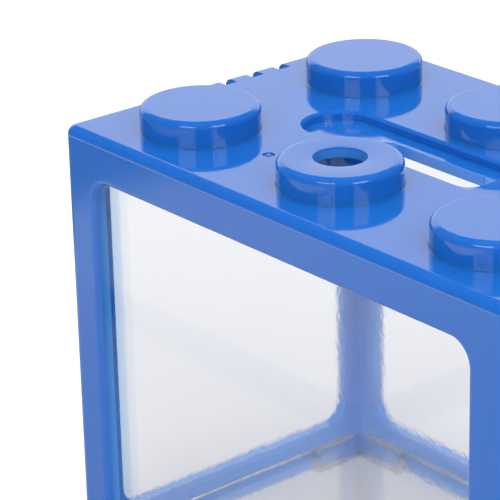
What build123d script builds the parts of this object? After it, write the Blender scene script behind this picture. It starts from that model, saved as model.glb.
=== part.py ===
from build123d import *
from math import cos, radians, sin
import os

# Stackable fish tank: a clear box under a one-piece studded cover frame, in millimetres.
# The origin is on the table, under the middle of the tank. X runs along the long front face,
# Y towards the back and Z up.

# Cover frame
length = 120.0
width = 78.0
deck_height = 95.0
frame_wall = 3.0
deck_thickness = 2.2
corner_round = 2.2
inner_corner_round = 1.0
top_edge_round = 1.8

# Windows
pillar_width = 8.8
lintel_height = 9.3
sill_height = 10.7
window_corner_round = 4.5
window_edge_round = 1.2

# Studs on the deck
stud_diameter = 23.2
stud_height = 5.0
stud_pitch_x = 40.0
stud_pitch_y = 42.0
stud_columns = 3
stud_rows = 2
stud_wall = 2.2
stud_top = 2.0
stud_rim_round = 1.3
stud_rim_steps = 3
stud_hole_diameter = 10.0

# Feeding dish with its through slot
dish_length = 61.6
dish_width = 14.2
dish_depth = 1.8
dish_rim_chamfer = 0.5
slot_length = 30.0
slot_width = 7.0

# Air notches in the short ends
notch_count = 5
notch_pitch = 7.0
notch_width = 2.9
notch_reach = 3.8
notch_depth = 3.4

# Gate mark left by the moulding, between two studs of the front row
gate_dimple_diameter = 2.4
gate_dimple_depth = 0.3
gate_nub_diameter = 0.9

# Clear tank
tank_clearance = 0.4
tank_wall = 2.2
tank_corner_round = 3.0
tank_rim_drop = 2.2
tank_rim_chamfer = 0.4
floor_thickness = 2.0
floor_clearance = 0.4
floor_inner_round = 1.4
foot_leg = 14.0
foot_arch_round = 2.5

# Places worked out from the sizes above
deck_underside = deck_height - deck_thickness
dish_floor = deck_height - dish_depth
dish_underside = dish_floor - deck_thickness
stud_radius = stud_diameter / 2
stud_hollow_radius = stud_radius - stud_wall
stud_hollow_top = deck_height + stud_height - stud_top
inner_length = length - 2 * frame_wall
inner_width = width - 2 * frame_wall
window_height = deck_height - lintel_height - sill_height
window_middle = sill_height + window_height / 2
front_window_width = length - 2 * pillar_width
end_window_width = width - 2 * pillar_width
tank_length = inner_length - 2 * tank_clearance
tank_width = inner_width - 2 * tank_clearance
tank_top = deck_underside - tank_rim_drop
floor_underside = stud_height + floor_clearance
floor_top = floor_underside + floor_thickness
gate_x = -stud_pitch_x / 2
gate_y = -stud_pitch_y / 2

os.makedirs("parts", exist_ok=True)


with BuildPart() as studded_frame:
    # Outer block of the moulding, with its rounded top edge
    with BuildSketch():
        RectangleRounded(length, width, corner_round)
    extrude(amount=deck_height)
    fillet(studded_frame.faces().sort_by(Axis.Z)[-1].edges(), top_edge_round)

    # Feeding dish pressed into the deck, its floor as thick as the deck
    with BuildSketch(Plane.XY.offset(deck_height)):
        SlotOverall(dish_length, dish_width)
    extrude(amount=-dish_depth, mode=Mode.SUBTRACT)
    dish_rim = studded_frame.faces().filter_by(Plane.XY).sort_by(Axis.Z)[-1].inner_wires()[0]
    chamfer(dish_rim.edges(), dish_rim_chamfer)

    # Studs: straight buttons, then the rounded rim in a few steps, which keeps their facets few
    with BuildSketch(Plane.XY.offset(deck_height)):
        with GridLocations(stud_pitch_x, stud_pitch_y, stud_columns, stud_rows):
            Circle(stud_radius)
    extrude(amount=stud_height - stud_rim_round)
    for stud in GridLocations(stud_pitch_x, stud_pitch_y, stud_columns, stud_rows):
        for step in range(stud_rim_steps + 1):
            turn = radians(90 * step / stud_rim_steps)
            step_height = deck_height + stud_height - stud_rim_round * (1 - sin(turn))
            with BuildSketch(Plane.XY.offset(step_height)):
                with Locations(stud):
                    Circle(stud_radius - stud_rim_round * (1 - cos(turn)))
        loft(ruled=True)

    # Inside of the cover: open at the bottom, with room for the dish
    with BuildSketch():
        RectangleRounded(inner_length, inner_width, inner_corner_round)
    extrude(amount=dish_underside, mode=Mode.SUBTRACT)
    with BuildSketch(Plane.XY.offset(dish_underside)):
        RectangleRounded(inner_length, inner_width, inner_corner_round)
        SlotOverall(dish_length + 2 * deck_thickness, dish_width + 2 * deck_thickness, mode=Mode.SUBTRACT)
    extrude(amount=dish_depth, mode=Mode.SUBTRACT)
    with BuildSketch(Plane.XY.offset(deck_underside)):
        with GridLocations(stud_pitch_x, stud_pitch_y, stud_columns, stud_rows):
            Circle(stud_hollow_radius)
        SlotOverall(dish_length + 2 * deck_thickness, dish_width + 2 * deck_thickness, mode=Mode.SUBTRACT)
    extrude(amount=stud_hollow_top - deck_underside, mode=Mode.SUBTRACT)

    # Windows in the two long faces and the two short ends
    with BuildSketch(Plane.XZ):
        with Locations((0, window_middle)):
            RectangleRounded(front_window_width, window_height, window_corner_round)
    extrude(amount=width, both=True, mode=Mode.SUBTRACT)
    with BuildSketch(Plane.YZ):
        with Locations((0, window_middle)):
            RectangleRounded(end_window_width, window_height, window_corner_round)
    extrude(amount=length, both=True, mode=Mode.SUBTRACT)
    for axis in (Axis.X, Axis.Y):
        for side in (0, -1):
            face = studded_frame.faces().filter_by(axis).group_by(axis)[side].sort_by(SortBy.AREA)[-1]
            fillet(face.inner_wires()[0].edges(), window_edge_round)

    # Feeding slot, stud hole, air notches and gate mark
    with BuildSketch(Plane.XY.offset(deck_height)):
        SlotOverall(slot_length, slot_width)
    extrude(amount=-(deck_height - sill_height), mode=Mode.SUBTRACT)
    with Locations((0, -stud_pitch_y / 2, deck_height + stud_height)):
        Hole(stud_hole_diameter / 2, depth=2 * stud_top)
    for side in (-1, 1):
        notch_x = side * (length / 2 - notch_reach / 2 + 1)
        with Locations((notch_x, 0, deck_height)):
            with GridLocations(0, notch_pitch, 1, notch_count):
                Box(notch_reach + 2, notch_width, 2 * notch_depth, mode=Mode.SUBTRACT)
    with BuildSketch(Plane.XY.offset(deck_height)):
        with Locations((gate_x, gate_y)):
            Circle(gate_dimple_diameter / 2)
            Circle(gate_nub_diameter / 2, mode=Mode.SUBTRACT)
    extrude(amount=-gate_dimple_depth, mode=Mode.SUBTRACT)

studded_frame.part.label = "studded_frame"
export_step(studded_frame.part, "parts/studded_frame.step")


with BuildPart() as clear_tank:
    # Box with a raised floor
    with BuildSketch():
        RectangleRounded(tank_length, tank_width, tank_corner_round)
    extrude(amount=tank_top)
    with BuildSketch(Plane.XY.offset(floor_top)):
        RectangleRounded(tank_length - 2 * tank_wall, tank_width - 2 * tank_wall,
                         tank_corner_round - tank_wall)
    extrude(amount=tank_top - floor_top, mode=Mode.SUBTRACT)
    inner_floor = clear_tank.faces().filter_by(Plane.XY).filter_by(lambda f: abs(f.center().Z - floor_top) < 0.01)
    fillet(inner_floor.edges(), floor_inner_round)
    rim = clear_tank.faces().sort_by(Axis.Z)[-1]
    chamfer(rim.edges(), tank_rim_chamfer)

    # Room for the studs of a tank below, which leaves a foot at each corner
    with BuildSketch():
        RectangleRounded(tank_length - 2 * tank_wall, tank_width - 2 * tank_wall,
                         tank_corner_round - tank_wall)
    extrude(amount=floor_underside, mode=Mode.SUBTRACT)
    for plane, span, reach in (
        (Plane.XZ, tank_length - 2 * foot_leg, tank_width),
        (Plane.YZ, tank_width - 2 * foot_leg, tank_length),
    ):
        with BuildSketch(plane) as arch:
            with Locations((0, 0)):
                Rectangle(span, 2 * floor_underside)
            fillet(arch.vertices(), foot_arch_round)
        extrude(amount=reach, both=True, mode=Mode.SUBTRACT)

clear_tank.part.label = "clear_tank"
export_step(clear_tank.part, "parts/clear_tank.step")
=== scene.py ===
import math

import bmesh
import bpy
from mathutils import Matrix, Vector


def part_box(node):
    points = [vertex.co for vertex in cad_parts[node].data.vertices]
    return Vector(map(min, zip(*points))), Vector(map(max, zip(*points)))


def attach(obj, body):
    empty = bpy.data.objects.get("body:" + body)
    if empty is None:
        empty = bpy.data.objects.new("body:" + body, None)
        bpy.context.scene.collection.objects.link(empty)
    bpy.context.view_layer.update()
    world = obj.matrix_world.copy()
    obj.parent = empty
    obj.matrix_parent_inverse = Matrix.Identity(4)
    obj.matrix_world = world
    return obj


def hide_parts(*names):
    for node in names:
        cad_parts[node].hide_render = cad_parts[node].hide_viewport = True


# Stackable fish tank: studded cover frame in glossy blue plastic over a clear box.
# Sizes are in metres. X runs along the long front face, Y towards the back, Z up.

MM = 0.001

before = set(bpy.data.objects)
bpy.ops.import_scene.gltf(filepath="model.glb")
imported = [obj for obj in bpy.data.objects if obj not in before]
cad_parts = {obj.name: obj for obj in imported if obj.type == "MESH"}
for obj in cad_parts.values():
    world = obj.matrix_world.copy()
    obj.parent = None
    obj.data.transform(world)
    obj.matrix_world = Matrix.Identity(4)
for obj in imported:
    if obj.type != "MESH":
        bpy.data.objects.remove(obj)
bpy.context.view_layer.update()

frame_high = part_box("studded_frame")[1]
tank_low, tank_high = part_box("clear_tank")

# Cover frame
stud_height = 5 * MM
half_length = frame_high.x
half_width = frame_high.y
deck_height = frame_high.z - stud_height
top_edge_round = 1.8 * MM
frame_wall = 3 * MM
# Studs on the deck
stud_radius = 11.6 * MM
stud_pitch_x = 40 * MM
stud_pitch_y = 42 * MM
stud_rim_round = 1.3 * MM
stud_foot_round = 0.22 * MM
stud_hole_radius = 5 * MM
stud_hole_round = 0.3 * MM
stud_top = 2 * MM
# The skin that covers each stud
skin_proud = 0.03 * MM
skin_thick = 1 * MM
skin_sunk = 0.1 * MM
flat_margin = 0.06 * MM
# Slot in the floor of the feeding dish
slot_half_length = 15 * MM
slot_half_width = 3.5 * MM
# Windows of the cover frame
window_half_length = 51.2 * MM
window_half_width = 30.2 * MM
window_middle = (10.7 + 85.7) / 2 * MM
window_half_height = (85.7 - 10.7) / 2 * MM
window_corner_round = 4.5 * MM
window_edge_round = 1.2 * MM
# Tank walls, floor and feet
tank_wall = 2.2 * MM
tank_corner_round = 3 * MM
tank_floor_top = 7.4 * MM
tank_floor_under = 5.4 * MM
tank_floor_round = 0.74 * MM
tank_rim_round = 0.4 * MM
foot_leg = 14 * MM
foot_arch_round = 2.5 * MM
# How far a cutting block reaches past what it cuts
cut_past = 5 * MM
# Two places closer than this are the same place
same_place = 1e-6

# Steps of the rounds in the meshes
spin_steps = 96
foot_steps = 6
rim_steps = 10
lip_steps = 5
upright_steps = 10
base_steps = 6
ridge_steps = 8
tank_rim_steps = 3

# Blue plastic, in linear colour
blue_deep = (0.010, 0.128, 0.50, 1)
blue_clouded = (0.012, 0.138, 0.53, 1)
# Painted light: the lighter blue painted round the windows, on the inside, in the slot and in the stud
# hole
blue_painted_glow = (0.085, 0.33, 0.80, 1)
# Painted highlight: the lighter blue of the mould line
mould_line_painted_highlight = (0.16, 0.30, 0.74, 1)
blue_reflection = (1.0, 0.94, 0.66, 1)
# Clear plastic
clear_tint = (0.955, 0.958, 0.970, 1)
# Painted light: the pale blue painted on the tank's end walls
clear_painted_pillar_blue = (0.60, 0.78, 0.95, 1)
clear_shadow = (0.93, 0.94, 0.97, 1)

# Camera, as fitted to the photograph
camera_azimuth = math.radians(50.69)
camera_elevation = math.radians(22.48)
camera_roll = math.radians(-1.39)
camera_distance = 519.63 * MM
camera_target = Vector((-41.5, -8.41, 65.77)) * MM
camera_lens = 188.69
camera_sensor = 36

# Two large lamps: bearing to the right of the camera and elevation in degrees, width and height
softboxes = {"softbox_front": (-28, 25, (0.58, 0.38)), "softbox_side": (34, 25, (0.50, 0.38))}
softbox_distance = 1.1
softbox_power = 3.2
# World: what glossy surfaces mirror and what lights the scene
mirror_dark = 0.12
mirror_backdrop = 1.25
mirror_colour = (1.0, 0.99, 0.96, 1)
light_around = 0.16
light_above = 1.52
# Floor
floor_half_size = 6
floor_colour = (0.635, 0.635, 0.645, 1)
floor_far_glow = 0.38


class Value:
    """A shader socket that takes part in Python arithmetic."""

    def __init__(self, nodes, socket):
        self.nodes = nodes
        self.socket = socket

    def math(self, operation, *others):
        return self.nodes.add("ShaderNodeMath", {"operation": operation}, {0: self, **{
            place + 1: other for place, other in enumerate(others)}})

    def __add__(self, other):
        return self.math("ADD", other)

    def __radd__(self, other):
        return self.math("ADD", other)

    def __sub__(self, other):
        return self.math("SUBTRACT", other)

    def __rsub__(self, other):
        return self.nodes.add("ShaderNodeMath", {"operation": "SUBTRACT"}, {0: other, 1: self})

    def __mul__(self, other):
        return self.math("MULTIPLY", other)

    def __rmul__(self, other):
        return self.math("MULTIPLY", other)

    def __gt__(self, other):
        return self.math("GREATER_THAN", other)

    def __lt__(self, other):
        return self.math("LESS_THAN", other)

    def __abs__(self):
        return self.math("ABSOLUTE")

    def larger(self, other):
        return self.math("MAXIMUM", other)

    def smaller(self, other):
        return self.math("MINIMUM", other)

    def step(self, low, high):
        """0 below low, 1 above high and smooth between them."""
        return self.nodes.add("ShaderNodeMapRange", {"interpolation_type": "SMOOTHSTEP"},
                              {"Value": self, "From Min": low, "From Max": high})


class Finish:
    """The node tree of one material or world."""

    def __init__(self, tree):
        self.tree = tree
        self.tree.nodes.clear()

    def add(self, kind, settings=None, inputs=None, output=0):
        node = self.tree.nodes.new(kind)
        for name, setting in (settings or {}).items():
            setattr(node, name, setting)
        for name, value in (inputs or {}).items():
            if isinstance(value, Value):
                self.tree.links.new(value.socket, node.inputs[name])
            else:
                node.inputs[name].default_value = value
        return Value(self, node.outputs[output]) if node.outputs else None

    def split(self, vector):
        node = self.add("ShaderNodeSeparateXYZ", inputs={0: vector})
        return [Value(self, output) for output in node.socket.node.outputs]

    def ray_kinds(self):
        """Camera, glossy and transmission rays, 1 or 0 each."""
        outputs = self.add("ShaderNodeLightPath").socket.node.outputs
        return [Value(self, outputs[f"Is {kind} Ray"]) for kind in ("Camera", "Glossy", "Transmission")]

    def opening(self, along, height, half_span):
        """1 on the edge faces of a window with rounded corners, and 0 away from them."""
        side = (along - (half_span - window_corner_round)).larger(0)
        level = (abs(height - window_middle) - (window_half_height - window_corner_round)).larger(0)
        edge = (side * side + level * level).math("SQRT") - window_corner_round
        inside = edge - window_edge_round
        return 1 - inside.step(-0.6 * MM, 0.3 * MM)

    def mix_colour(self, factor, low, high):
        return self.add("ShaderNodeMix", {"data_type": "RGBA"}, {0: factor, 6: low, 7: high}, output=2)

    def mix_value(self, factor, low, high):
        return self.add("ShaderNodeMix", {"data_type": "FLOAT"}, {0: factor, 2: low, 3: high})

    def mix_shader(self, factor, low, high):
        return self.add("ShaderNodeMixShader", inputs={0: factor, 1: low, 2: high})

    def noise(self, place, scale, detail=2.0, roughness=0.5):
        return self.add("ShaderNodeTexNoise", inputs={
            "Vector": place, "Scale": scale, "Detail": detail, "Roughness": roughness})

    def bump(self, height, distance, strength=1.0, normal=None):
        inputs = {"Height": height, "Distance": distance, "Strength": strength}
        if normal is not None:
            inputs["Normal"] = normal
        return self.add("ShaderNodeBump", inputs=inputs)


def new_material(name):
    material = bpy.data.materials.new(name)
    material.use_nodes = True
    return material, Finish(material.node_tree)


def blue_plastic():
    """Glossy moulded plastic: slow ripples, a little haze, the fine line that the mould leaves with a
    painted highlight on it, and painted light round the windows and inside.
    """
    material, nodes = new_material("blue_gloss_plastic")
    place = nodes.add("ShaderNodeTexCoord", output=3)
    x, y, z = nodes.split(place)

    # The mould's line runs round the outside, under the rounded top edge; its ridge is a bump and its
    # lighter colour a painted highlight
    face_band = 0.5 * MM
    outside = (abs(x) - (half_length - face_band)).larger(abs(y) - (half_width - face_band)) > 0
    from_line = abs(z - (deck_height - top_edge_round))
    line = (1 - from_line.step(0.05 * MM, 0.14 * MM)) * outside

    # Painted light: a lighter blue is painted round the windows and on the inside faces, standing in
    # for light that comes through the thin plastic
    front_gap = nodes.opening(abs(x), z, window_half_length)
    end_gap = nodes.opening(abs(y), z, window_half_width)
    front_depth = (abs(y) - (half_width - frame_wall)).step(frame_wall, 0)
    end_depth = (abs(x) - (half_length - frame_wall)).step(frame_wall, 0)
    below_lintel = z < deck_height - 8 * MM
    glow = (front_depth * front_gap).larger(end_depth * end_gap) * below_lintel
    skin = frame_wall - 0.1 * MM
    inside = (abs(x) < half_length - skin) * (abs(y) < half_width - skin) * (z < deck_height - 4 * MM)

    # and painted on the walls of the feeding slot and of the stud hole
    slot_reach = 0.1 * MM
    slot = (abs(x) < slot_half_length + slot_reach) * (abs(y) < slot_half_width + slot_reach)
    slot = slot * (z > deck_height - 5 * MM)
    stud_face = deck_height + stud_height
    from_hole = nodes.add("ShaderNodeVectorMath", {"operation": "DISTANCE"}, {
        0: place, 1: (0, -stud_pitch_y / 2, stud_face)}, output=1)
    hole = (from_hole < stud_hole_radius + 0.4 * MM) * (z < stud_face - 0.3 * MM)
    light = (glow * 0.75).larger(inside * 0.85).larger((slot * 0.6).larger(hole * 0.35))

    cloud = nodes.noise(place, 45, detail=3)
    specks = nodes.noise(place, 2600, detail=1).step(0.70, 0.80)
    tint = nodes.mix_colour(cloud, blue_deep, blue_clouded)
    # Painted light: the lighter blue is mixed into the base colour at these places
    tint = nodes.mix_colour(light, tint, blue_painted_glow)
    # Painted highlight: the mould line is drawn in a lighter blue, over the bump of its ridge
    colour = nodes.mix_colour(line * 0.55, tint, mould_line_painted_highlight)
    ripple = nodes.bump(nodes.noise(place, 38, detail=1), 0.06 * MM, 0.5)
    grain = nodes.bump(nodes.noise(place, 900, detail=2), 0.002 * MM, 0.35, ripple)
    ridge = nodes.bump(line, 0.05 * MM, 0.8, grain)
    surface = nodes.add("ShaderNodeBsdfPrincipled", inputs={
        "Base Color": colour, "Roughness": 0.05 + cloud * 0.04 + specks * 0.10,
        "Normal": ridge, "IOR": 1.53, "Specular Tint": blue_reflection,
        "Subsurface Weight": 0.5, "Subsurface Scale": 3 * MM,
        "Subsurface Radius": (0.25, 0.6, 1.0)})
    nodes.add("ShaderNodeOutputMaterial", inputs={"Surface": surface})
    return material


def clear_plastic():
    """Clear polished plastic, wavy at its rear corners and low down, as moulded boxes are, with pale
    blue painted on its end walls.
    """
    material, nodes = new_material("clear_polished_plastic")
    place = nodes.add("ShaderNodeTexCoord", output=3)
    x, y, z = nodes.split(place)

    near_corner = (abs(x) - tank_high.x).smaller(abs(y) - tank_high.y)
    corner = near_corner.step(-8 * MM, -6 * MM) * (0.85 - z.step(20 * MM, 55 * MM) * 0.65)
    rear_corner = corner * y.step(0, 20 * MM)
    low_band = 0.6 - z.step(12 * MM, 15 * MM) * 0.6
    wavy = rear_corner.larger(low_band) * z.step(8.5 * MM, 9.5 * MM)
    broad = nodes.bump(nodes.noise(place, 24, detail=1), 0.10 * MM, 0.4)
    waves = nodes.noise(place, 1000, detail=3, roughness=0.6)
    ragged = nodes.bump(waves * (0.02 + wavy * 0.98), 0.26 * MM, 1.0, broad)

    # Painted light: the end walls are painted pale blue, standing in for the blue of the pillars beside
    # them seen through the wall
    end_wall = (abs(x) - (tank_high.x - 2.6 * MM)).step(0, 0.2 * MM)
    painted_pillar_blue_mask = end_wall * abs(y).step(27.2 * MM, 31.2 * MM)
    tint = nodes.mix_colour(painted_pillar_blue_mask, clear_tint, clear_painted_pillar_blue)
    glass = nodes.add("ShaderNodeBsdfPrincipled", inputs={
        "Base Color": tint, "Roughness": 0.02 + nodes.noise(place, 60) * 0.02,
        "Normal": ragged, "IOR": 1.49, "Transmission Weight": 1.0})
    clear = nodes.add("ShaderNodeBsdfTransparent", inputs={0: clear_shadow})
    shadow_ray = nodes.add("ShaderNodeLightPath", output=1)
    nodes.add("ShaderNodeOutputMaterial", inputs={
        "Surface": nodes.mix_shader(shadow_ray, glass, clear)})
    return material


def dress(piece, material):
    piece.data.materials.clear()
    piece.data.materials.append(material)


def add_piece(name, shape):
    """Turns a bmesh into an object of the scene."""
    mesh = bpy.data.meshes.new(name)
    shape.to_mesh(mesh)
    shape.free()
    piece = bpy.data.objects.new(name, mesh)
    bpy.context.scene.collection.objects.link(piece)
    return piece


def arc(centre, radius, start, end, steps):
    """Points of an arc in a profile of (distance from the axis, height)."""
    angles = [math.radians(start + (end - start) * step / steps) for step in range(steps + 1)]
    return [(centre[0] + radius * math.cos(angle), centre[1] + radius * math.sin(angle))
            for angle in angles]


def spin_profile(name, profile, centre):
    """A turned piece: the closed profile is spun round a vertical axis at centre."""
    shape = bmesh.new()
    corners = [shape.verts.new((centre[0] + r, centre[1], z)) for r, z in profile]
    edges = [shape.edges.new(pair) for pair in zip(corners, corners[1:])]
    edges.append(shape.edges.new((corners[-1], corners[0])))
    bmesh.ops.spin(shape, geom=corners + edges, cent=(*centre, 0), axis=(0, 0, 1),
                   angle=2 * math.pi, steps=spin_steps, use_merge=True)
    bmesh.ops.remove_doubles(shape, verts=shape.verts, dist=1e-7)
    bmesh.ops.recalc_face_normals(shape, faces=shape.faces)
    return add_piece(name, shape)


def stud_skin(name, centre, holed, material):
    """The rounded outside of one stud, with the small hollow round where it meets the deck."""
    radius = stud_radius + skin_proud
    top = deck_height + stud_height + skin_proud
    sunk = deck_height - skin_sunk
    inner = radius - skin_thick
    under = top - skin_thick
    foot = arc((radius + stud_foot_round, deck_height + stud_foot_round), stud_foot_round,
               270, 180, foot_steps)
    rim = arc((radius - stud_rim_round, top - stud_rim_round), stud_rim_round, 0, 90, rim_steps)
    # Loops close to the rounds keep the side and the top shaded flat
    rim = ([(radius, foot[-1][1] + flat_margin), (radius, rim[0][1] - flat_margin)] + rim
           + [(rim[-1][0] - flat_margin, top)])
    if holed:
        hole = stud_hole_radius - skin_proud
        lip = arc((hole + stud_hole_round, top - stud_hole_round), stud_hole_round, 90, 180, lip_steps)
        middle = lip + [(hole, top - stud_top), (hole + skin_thick, top - stud_top),
                        (hole + skin_thick, under)]
    else:
        middle = [(0, top), (0, under)]
    profile = [(foot[0][0], sunk)] + foot + rim + middle + [(inner, under), (inner, sunk)]
    piece = spin_profile(name, profile, centre)
    piece.data.shade_smooth()
    piece.data.set_sharp_from_angle(angle=math.radians(40))
    dress(piece, material)
    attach(piece, "cover")
    return piece


def round_edges(shape, edges, radius, steps):
    bmesh.ops.bevel(shape, geom=edges, offset=radius, offset_type="OFFSET", affect="EDGES",
                    segments=steps, profile=0.5, material=-1)


def edges_at_height(shape, height):
    return [edge for edge in shape.edges
            if all(abs(corner.co.z - height) < same_place for corner in edge.verts)]


def edge_reach(edge, axis):
    """How far an edge runs along one axis."""
    return abs(edge.verts[0].co[axis] - edge.verts[1].co[axis])


def block(low, high, upright_round=0.0, base_round=0.0, ridge_round=0.0, ridge_axis=None):
    """A mesh block between two corners. Its upright edges are rounded, then the edges of its base
    or the top edges that run along one axis."""
    shape = bmesh.new()
    middle = (Vector(low) + Vector(high)) / 2
    spread = Vector(high) - Vector(low)
    bmesh.ops.create_cube(shape, size=1,
                          matrix=Matrix.Translation(middle) @ Matrix.Diagonal((*spread, 1)))
    if upright_round:
        uprights = [edge for edge in shape.edges if edge_reach(edge, 2) > spread.z / 2]
        round_edges(shape, uprights, upright_round, upright_steps)
    if base_round:
        round_edges(shape, edges_at_height(shape, low[2]), base_round, base_steps)
    if ridge_round:
        ridges = [edge for edge in edges_at_height(shape, high[2])
                  if edge_reach(edge, ridge_axis) > same_place]
        round_edges(shape, ridges, ridge_round, ridge_steps)
    bmesh.ops.recalc_face_normals(shape, faces=shape.faces)
    return add_piece("block", shape)


def carve(piece, tools):
    """Cuts the tools out of the piece and then takes them away."""
    for tool in tools:
        cut = piece.modifiers.new("cut", "BOOLEAN")
        cut.operation = "DIFFERENCE"
        cut.solver = "EXACT"
        cut.object = tool
    bpy.context.view_layer.update()
    evaluated = piece.evaluated_get(bpy.context.evaluated_depsgraph_get())
    carved = bpy.data.meshes.new_from_object(evaluated)
    piece.modifiers.clear()
    piece.data = carved
    for tool in tools:
        bpy.data.objects.remove(tool)
    shape = bmesh.new()
    shape.from_mesh(carved)
    bmesh.ops.remove_doubles(shape, verts=shape.verts, dist=same_place)
    bmesh.ops.dissolve_limit(shape, angle_limit=math.radians(0.5), verts=shape.verts,
                             edges=shape.edges)
    round_edges(shape, edges_at_height(shape, tank_high.z), tank_rim_round, tank_rim_steps)
    bmesh.ops.triangulate(shape, faces=shape.faces, quad_method="BEAUTY", ngon_method="BEAUTY")
    # Walls and floor stay flat, and only the rounds are shaded smooth
    for face in shape.faces:
        face.smooth = max(abs(part) for part in face.normal) < 0.9999
    shape.to_mesh(carved)
    shape.free()


def polished_box(material):
    """The clear tank with finer rounds than the solid's mesh has, for a clean view through them."""
    inner = tank_high - Vector((tank_wall, tank_wall, 0))
    inner_round = tank_corner_round - tank_wall
    reach = tank_high + Vector((cut_past, cut_past, 0))
    between_feet = tank_high - Vector((foot_leg, foot_leg, 0))
    piece = block(tank_low, tank_high, tank_corner_round)
    pocket = block((-inner.x, -inner.y, tank_floor_top), (inner.x, inner.y, tank_high.z + cut_past),
                   inner_round, tank_floor_round)
    under = block((-inner.x, -inner.y, -cut_past), (inner.x, inner.y, tank_floor_under), inner_round)
    arches = [block((-half_x, -half_y, -cut_past), (half_x, half_y, tank_floor_under),
                    ridge_round=foot_arch_round, ridge_axis=along)
              for half_x, half_y, along in ((between_feet.x, reach.y, 1), (reach.x, between_feet.y, 0))]
    carve(piece, [pocket, under] + arches)
    piece.name = piece.data.name = "polished_tank"
    dress(piece, material)
    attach(piece, "tank")
    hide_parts("clear_tank")
    return piece


def make_camera():
    back = Vector((math.sin(camera_azimuth) * math.cos(camera_elevation),
                   -math.cos(camera_azimuth) * math.cos(camera_elevation),
                   math.sin(camera_elevation)))
    right = Vector((0, 0, 1)).cross(back).normalized()
    up = back.cross(right)
    rolled_right = right * math.cos(camera_roll) + up * math.sin(camera_roll)
    rolled_up = up * math.cos(camera_roll) - right * math.sin(camera_roll)
    data = bpy.data.cameras.new("camera")
    data.lens = camera_lens
    data.sensor_width = camera_sensor
    data.clip_start = 10 * MM
    data.clip_end = 50
    camera = bpy.data.objects.new("camera", data)
    bpy.context.scene.collection.objects.link(camera)
    turn = Matrix((rolled_right, rolled_up, back)).transposed().to_4x4()
    camera.matrix_world = Matrix.Translation(camera_target + back * camera_distance) @ turn
    bpy.context.scene.camera = camera


def softbox(name, bearing, elevation, size):
    """A rectangular lamp at a bearing, in degrees to the right of the camera, round the tank."""
    turn = camera_azimuth + math.radians(bearing)
    lift = math.radians(elevation)
    middle = Vector((0, 0, deck_height))
    place = middle + softbox_distance * Vector((
        math.sin(turn) * math.cos(lift), -math.cos(turn) * math.cos(lift), math.sin(lift)))
    data = bpy.data.lights.new(name, "AREA")
    data.shape = "RECTANGLE"
    data.size, data.size_y = size
    data.energy = softbox_power
    lamp = bpy.data.objects.new(name, data)
    bpy.context.scene.collection.objects.link(lamp)
    lamp.location = place
    lamp.rotation_euler = (middle - place).to_track_quat("-Z", "Y").to_euler()


def make_world():
    """White to the camera, a bright backdrop in reflections, and light mostly from above."""
    world = bpy.data.worlds.new("studio")
    bpy.context.scene.world = world
    world.use_nodes = True
    nodes = Finish(world.node_tree)
    camera_ray, glossy_ray, transmission_ray = nodes.ray_kinds()
    seen = camera_ray.larger(transmission_ray)
    dx, dy, dz = nodes.split(nodes.add("ShaderNodeTexCoord", output=0))
    backwards = dy * math.cos(camera_azimuth) - dx * math.sin(camera_azimuth)
    backdrop = backwards.step(0.66, 0.82) * (1 - dz.step(0.50, 0.54))
    mirrored = mirror_dark + backdrop * mirror_backdrop
    lighting = light_around + dz.larger(0) * light_above
    level = nodes.mix_value(seen, nodes.mix_value(glossy_ray, lighting, mirrored), 1.0)
    colour = nodes.mix_colour(glossy_ray, (1, 1, 1, 1), mirror_colour)
    background = nodes.add("ShaderNodeBackground", inputs={"Color": colour, "Strength": level})
    nodes.add("ShaderNodeOutputWorld", inputs={"Surface": background})


def make_floor():
    """A pale floor that shows white, takes the tank's shadow and is dimmer in reflections."""
    shape = bmesh.new()
    bmesh.ops.create_grid(shape, x_segments=1, y_segments=1, size=floor_half_size)
    floor = add_piece("floor", shape)
    material, nodes = new_material("pale_floor")
    camera_ray, glossy_ray, through = nodes.ray_kinds()
    # In Cycles a ray that has passed through glass counts as glossy too
    mirrored = glossy_ray * (1 - through)
    place = nodes.add("ShaderNodeTexCoord", output=3)
    away = nodes.add("ShaderNodeVectorMath", {"operation": "LENGTH"}, {0: place}, output=1)
    left = 0 - nodes.split(place)[0]
    strength = camera_ray * 0.50 + through * 0.12
    strength = strength + mirrored * (0.06 + away.step(0.15, 0.25) * 0.36)
    matt = nodes.add("ShaderNodeBsdfDiffuse", inputs={"Color": floor_colour})
    glow = nodes.add("ShaderNodeEmission", inputs={"Color": (1, 1, 1, 1), "Strength": strength})
    pale = nodes.add("ShaderNodeAddShader", inputs={0: matt, 1: glow})
    dim = nodes.add("ShaderNodeEmission", inputs={"Strength": floor_far_glow})
    far = away.step(0.265, 0.33).larger(left.step(0.205, 0.24))
    nodes.add("ShaderNodeOutputMaterial", inputs={
        "Surface": nodes.mix_shader(mirrored * far, pale, dim)})
    dress(floor, material)


blue = blue_plastic()
clear = clear_plastic()
dress(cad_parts["studded_frame"], blue)
polished_box(clear)

for row, side in enumerate(("front", "back")):
    for column, place in enumerate(("left", "middle", "right")):
        centre = ((column - 1) * stud_pitch_x, (row - 0.5) * stud_pitch_y)
        stud_skin(f"stud_{side}_{place}", centre, (side, place) == ("front", "middle"), blue)

bpy.context.scene.view_settings.view_transform = "Standard"
make_camera()
make_world()
for name, (bearing, elevation, size) in softboxes.items():
    softbox(name, bearing, elevation, size)
make_floor()
